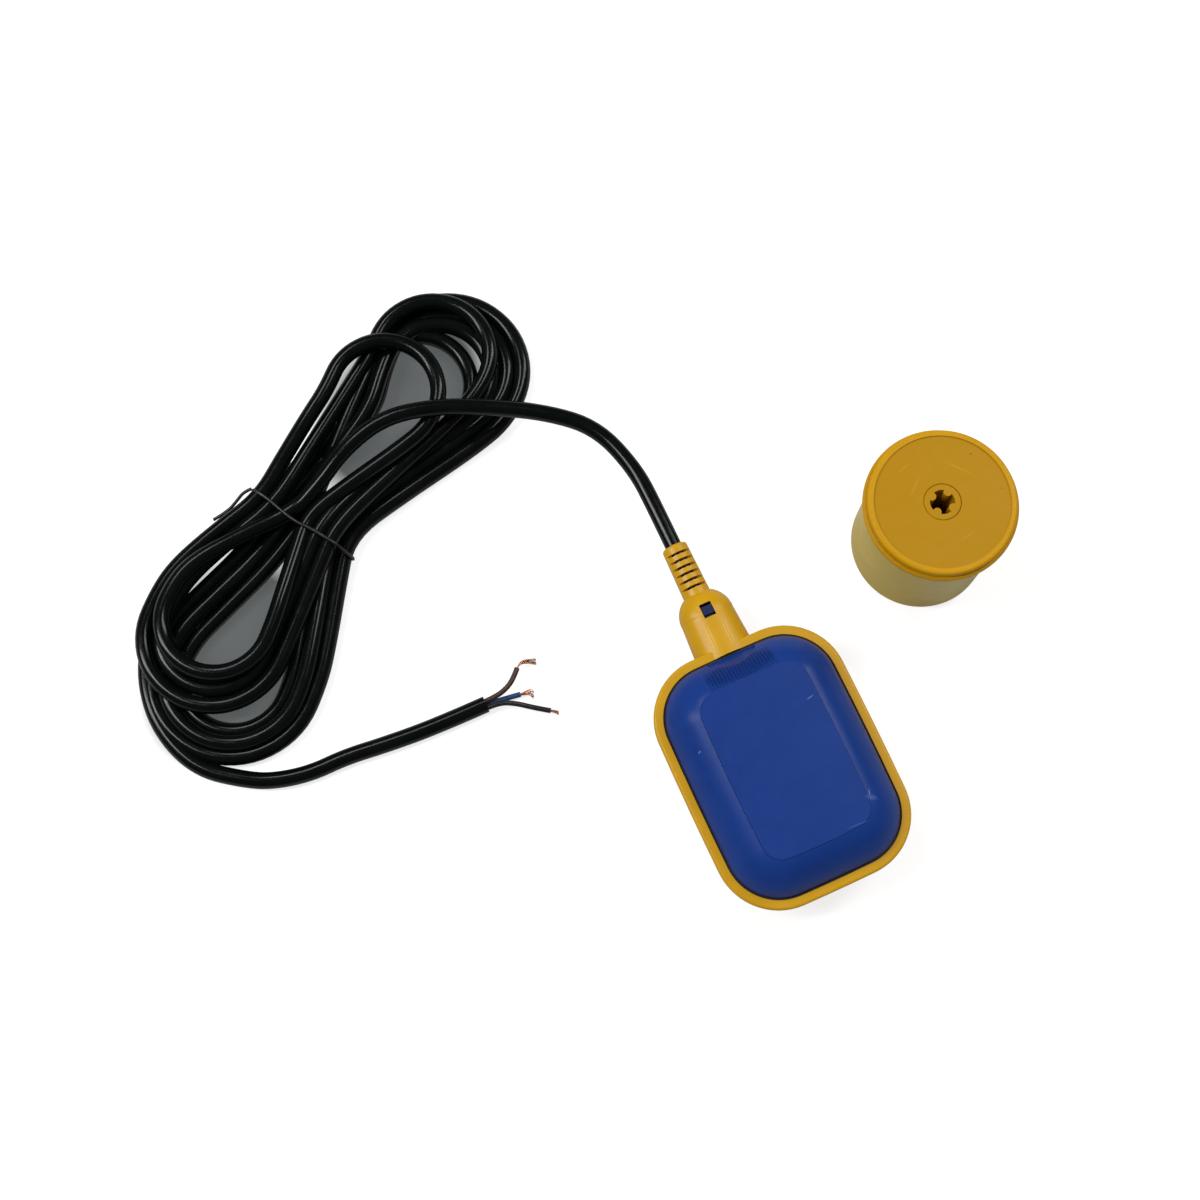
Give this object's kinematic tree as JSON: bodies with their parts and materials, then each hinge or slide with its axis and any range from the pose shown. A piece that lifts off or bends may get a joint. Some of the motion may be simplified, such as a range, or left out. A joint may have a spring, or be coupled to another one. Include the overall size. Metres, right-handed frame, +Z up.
{
  "type": "float switch",
  "caption": "Cable float switch: flat rounded float with a clip-on cover, its cable tied in a hank with bare cores, and a loose cylindrical cable counterweight.",
  "frame": {"origin": "middle of the float's body, on the surface it lies on", "axes": "+Y runs along the float towards its neck and cable, +Z is up out of the blue cover"},
  "size_m": [0.3467, 0.2998, 0.0609],
  "materials": {
    "yellow_shell": "semi-gloss moulded plastic",
    "blue_cover": "semi-gloss moulded plastic",
    "black_rubber": "matte",
    "cable_pvc": "glossy",
    "tie_plastic": "glossy",
    "white_foam": "matte closed-cell foam",
    "grey_plastic": "satin",
    "black_phenolic": "satin",
    "red_plastic": "satin",
    "steel": "satin",
    "terminal_brass": "satin",
    "potting": "dull resin",
    "cast_ballast": "rough",
    "brown_pvc": "satin",
    "blue_pvc": "satin",
    "black_pvc": "satin",
    "copper_strand": "bright, frayed"
  },
  "bodies": {
    "root": {"outer_shell": "yellow_shell", "top_cover": "blue_cover", "cover_seal": "black_rubber", "foam_core": "white_foam", "capsule_base": "grey_plastic", "capsule_lid": "grey_plastic", "capsule_gasket": "black_rubber", "capsule_screws": "steel", "ball_track": "grey_plastic", "switch_case": "black_phenolic", "switch_cover": "red_plastic", "switch_screws": "steel", "lever_pin": "steel", "terminal_closed": "terminal_brass", "terminal_common": "terminal_brass", "terminal_open": "terminal_brass", "capsule_grommet": "black_rubber", "potting_plug": "potting", "cable_ferrule": "steel", "cable_entry": "cable_pvc", "cable_lead": "cable_pvc", "cable_hank": "cable_pvc", "cable_tail": "cable_pvc", "hank_tie": "tie_plastic", "weight_shell": "yellow_shell", "weight_cap": "yellow_shell", "weight_slug": "cast_ballast", "cable_sleeve": "yellow_shell", "inner_core_brown": "brown_pvc", "inner_core_blue": "blue_pvc", "inner_core_black": "black_pvc", "core_brown": "brown_pvc", "core_blue": "blue_pvc", "core_black": "black_pvc", "strands_brown": "copper_strand", "strands_blue": "copper_strand", "strands_black": "copper_strand"},
    "ball": {"ball_weight": "steel"},
    "lever": {"switch_lever": "steel"},
    "plunger": {"switch_plunger": "red_plastic"}
  },
  "joints": [
    {"name": "ball_roll", "type": "slide", "parent": "root", "child": "ball", "axis": [0, -1, 0], "range_m": [0, 0.02]},
    {"name": "lever_swing", "type": "hinge", "parent": "root", "child": "lever", "pos_m": [0.0095, -0.01155, 0.02035], "axis": [0, 0, 1], "range_deg": [0, 9]},
    {"name": "plunger_press", "type": "slide", "parent": "root", "child": "plunger", "axis": [0, -1, 0], "range_m": [0, 0.0012]}
  ],
  "couplings": [
    {"joint": "lever_swing", "follows": "ball_roll", "rad_per_m": 7.85},
    {"joint": "plunger_press", "follows": "ball_roll", "ratio": 0.0599}
  ]
}
